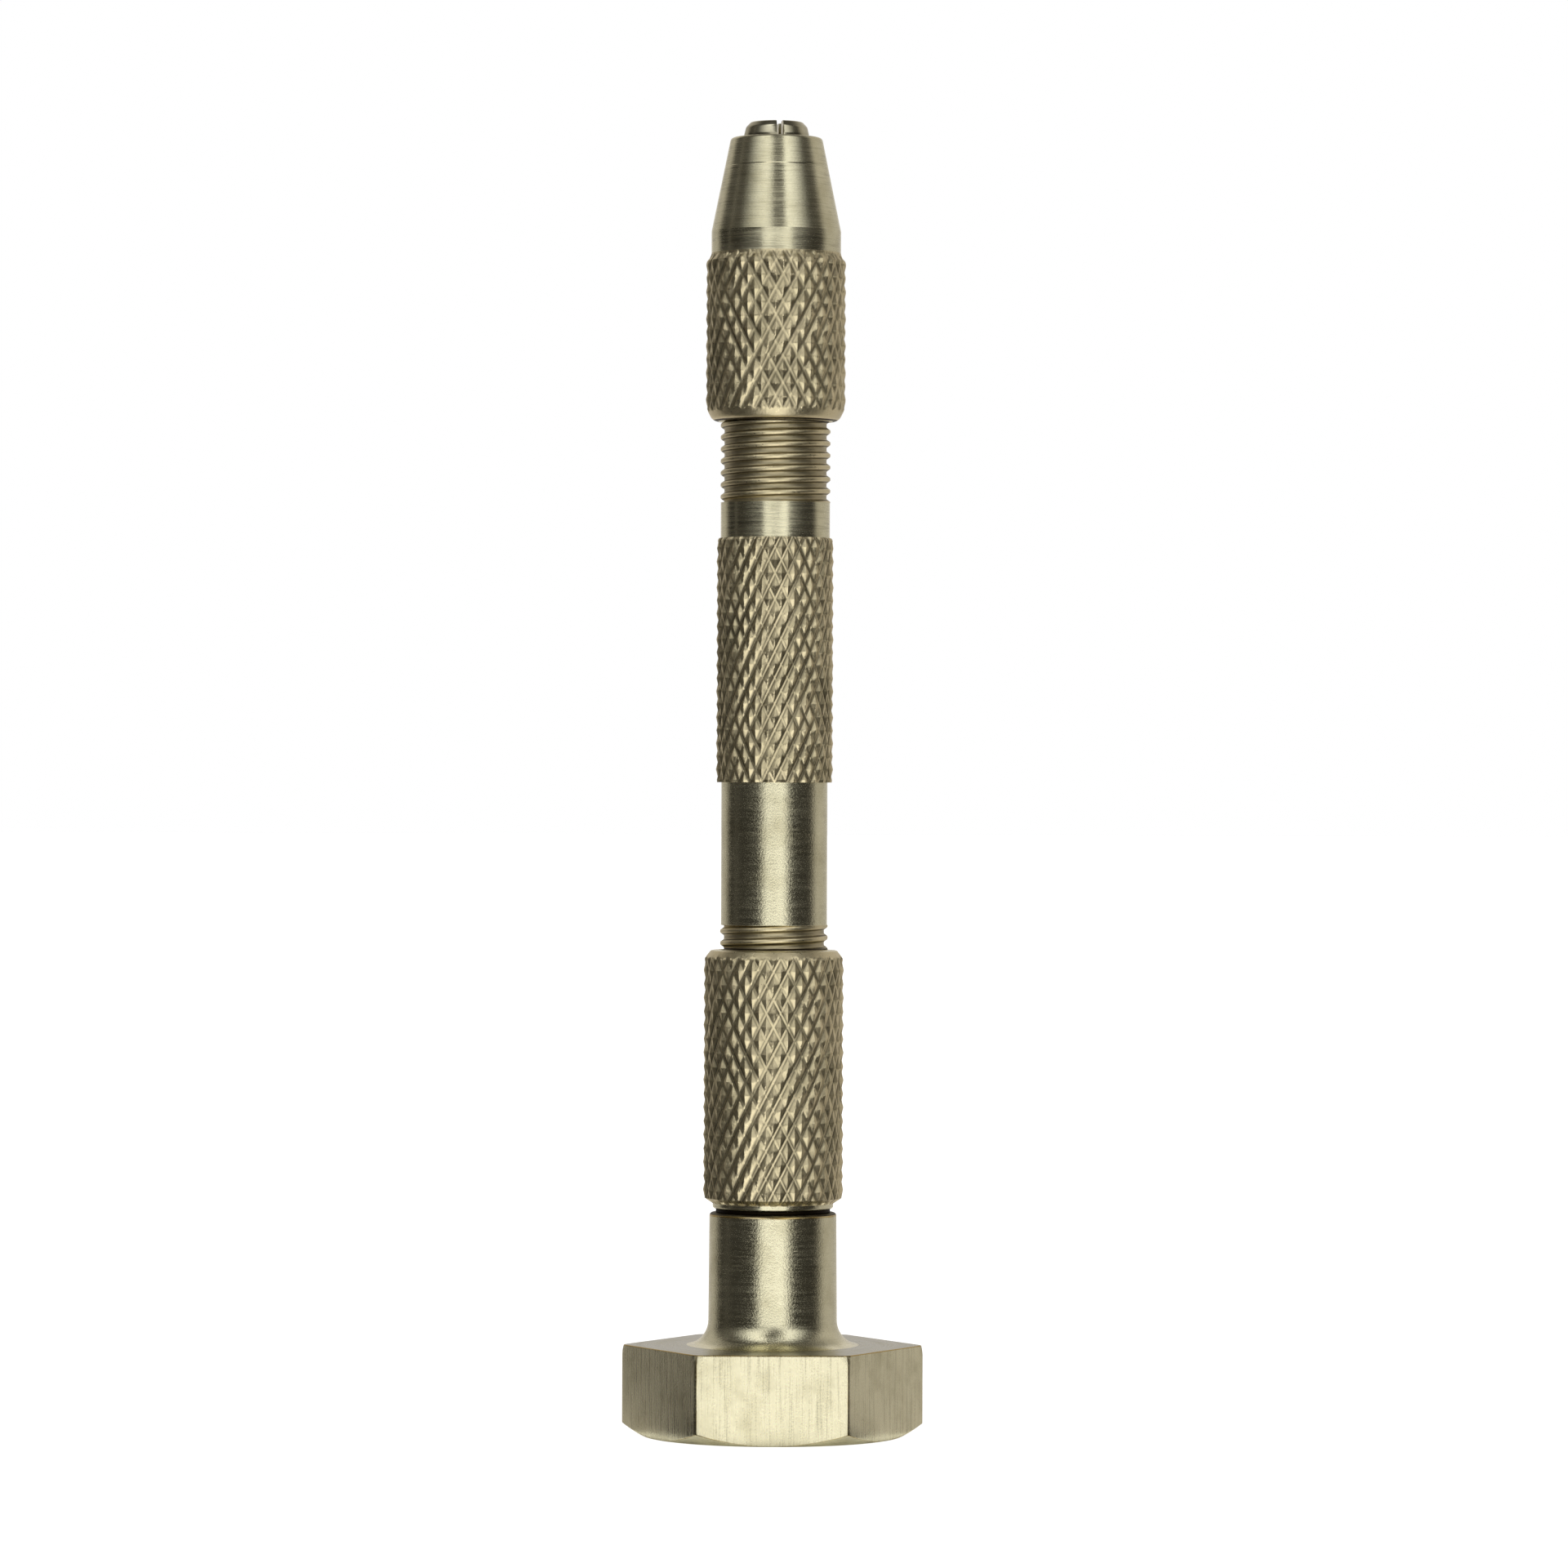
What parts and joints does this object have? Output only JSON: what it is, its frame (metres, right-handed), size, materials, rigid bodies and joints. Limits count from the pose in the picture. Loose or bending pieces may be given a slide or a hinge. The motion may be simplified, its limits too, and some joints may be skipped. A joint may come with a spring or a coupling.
{
  "type": "pin vise",
  "caption": "Swivel-head pin vise: knurled hollow barrel, tapered nose cap closing on a reversible split collet, knurled rear cap and a freely turning six-sided head.",
  "frame": {"origin": "centre of the flat end of the six-sided head, on which the tool stands", "axes": "+Z along the tool's axis, from the head towards the collet; +X towards a corner of the head, +Y towards a flat, and the picture is taken from -Y"},
  "size_m": [0.0229, 0.02, 0.1],
  "materials": {
    "nickel_plate": "worn bright nickel plate with a warm tint",
    "collet_steel": "satin hardened steel",
    "screw_steel": "turned steel",
    "washer_brass": "plain brass"
  },
  "bodies": {
    "barrel": {"barrel": "nickel_plate"},
    "chucked_collet": {"front_collet": "collet_steel"},
    "nose_cap": {"nose_cap": "nickel_plate"},
    "stored_collet": {"spare_collet": "collet_steel"},
    "rear_cap": {"rear_cap": "nickel_plate", "inner_washer": "washer_brass"},
    "swivel_head": {"swivel_head": "nickel_plate", "pivot_screw": "screw_steel", "thrust_washer": "washer_brass"}
  },
  "joints": [
    {"name": "nose_cap_turn", "type": "hinge", "parent": "barrel", "child": "chucked_collet", "pos_m": [0, 0, 0.09025], "axis": [0, 0, 1], "range_deg": [0, 3060]},
    {"name": "nose_cap_travel", "type": "slide", "parent": "chucked_collet", "child": "nose_cap", "axis": [0, 0, 1], "range_m": [0, 0.00771]},
    {"name": "rear_cap_travel", "type": "slide", "parent": "barrel", "child": "stored_collet", "axis": [0, 0, -1], "range_m": [0, 0.00975]},
    {"name": "rear_cap_turn", "type": "hinge", "parent": "stored_collet", "child": "rear_cap", "pos_m": [0, 0, 0.027], "axis": [0, 0, -1], "range_deg": [0, 3870]},
    {"name": "head_swivel", "type": "hinge", "parent": "rear_cap", "child": "swivel_head", "pos_m": [0, 0, 0.01695], "axis": [0, 0, 1], "continuous": true}
  ],
  "couplings": [
    {"joint": "nose_cap_turn", "follows": "nose_cap_travel", "rad_per_m": 6926.3},
    {"joint": "rear_cap_turn", "follows": "rear_cap_travel", "rad_per_m": 6926.3}
  ]
}
